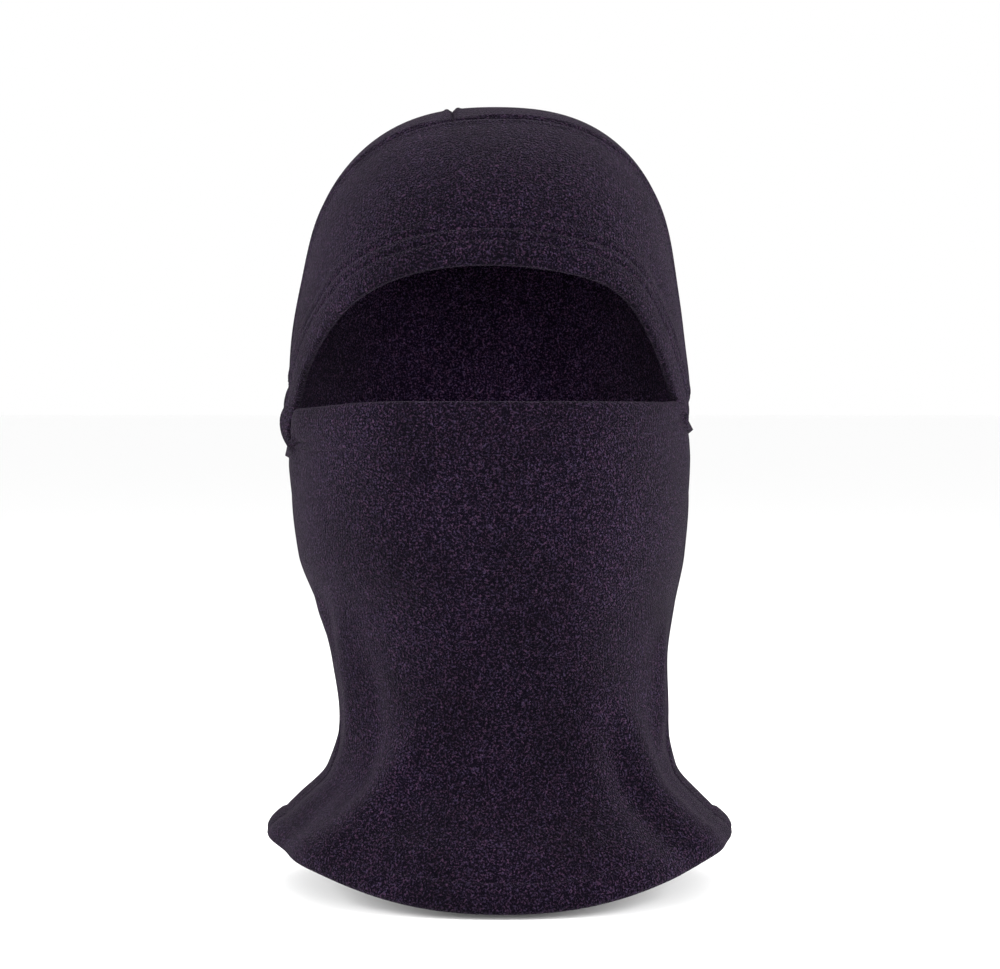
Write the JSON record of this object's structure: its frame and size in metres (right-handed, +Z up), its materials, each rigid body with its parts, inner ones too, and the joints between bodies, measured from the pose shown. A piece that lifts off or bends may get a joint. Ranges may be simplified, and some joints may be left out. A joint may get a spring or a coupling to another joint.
{
  "type": "balaclava",
  "caption": "Fleece balaclava: a hood with an arched brow opening, and a hemmed mask that pulls down from the nose to below the chin.",
  "frame": {"origin": "inside top of the crown, where the wearer's head touches the fabric", "axes": "+Z up, the face looks along -Y, +X to the right of someone looking at the face"},
  "size_m": [0.215, 0.2171, 0.3629],
  "materials": {
    "fleece": "dark aubergine velour-like fleece, fine nap, soft sheen at grazing angles",
    "fleece_lining": "inner face of the same fleece, turned in at the hems and seams",
    "thread": "matt polyester sewing thread, colour matched",
    "label": "plain woven satin label with nothing on it"
  },
  "bodies": {
    "hood": {"brow_panel": "fleece", "back_left_panel": "fleece", "back_right_panel": "fleece", "bib_panel": "fleece", "left_cheek": "fleece", "right_cheek": "fleece", "brow_hem": "fleece_lining", "front_bottom_hem": "fleece_lining", "back_bottom_hem": "fleece_lining", "crown_seam": "fleece_lining", "back_seam": "fleece_lining", "left_side_seam": "fleece_lining", "right_side_seam": "fleece_lining", "left_overlock": "thread", "right_overlock": "thread", "brow_upper_stitches": "thread", "brow_lower_stitches": "thread", "front_hem_stitches": "thread", "back_hem_stitches": "thread", "crown_stitches": "thread", "back_stitches": "thread", "left_bar_tack": "thread", "right_bar_tack": "thread", "neck_label": "label", "care_label": "label"},
    "mask": {"mask_panel": "fleece", "mask_hem": "fleece_lining", "mask_upper_stitches": "thread", "mask_lower_stitches": "thread"}
  },
  "joints": [
    {"name": "mask_pull", "type": "hinge", "parent": "hood", "child": "mask", "pos_m": [0, -0.014, -0.152], "axis": [1, 0, 0], "range_deg": [0, 40], "deforming": ["left_cheek", "right_cheek"]}
  ]
}
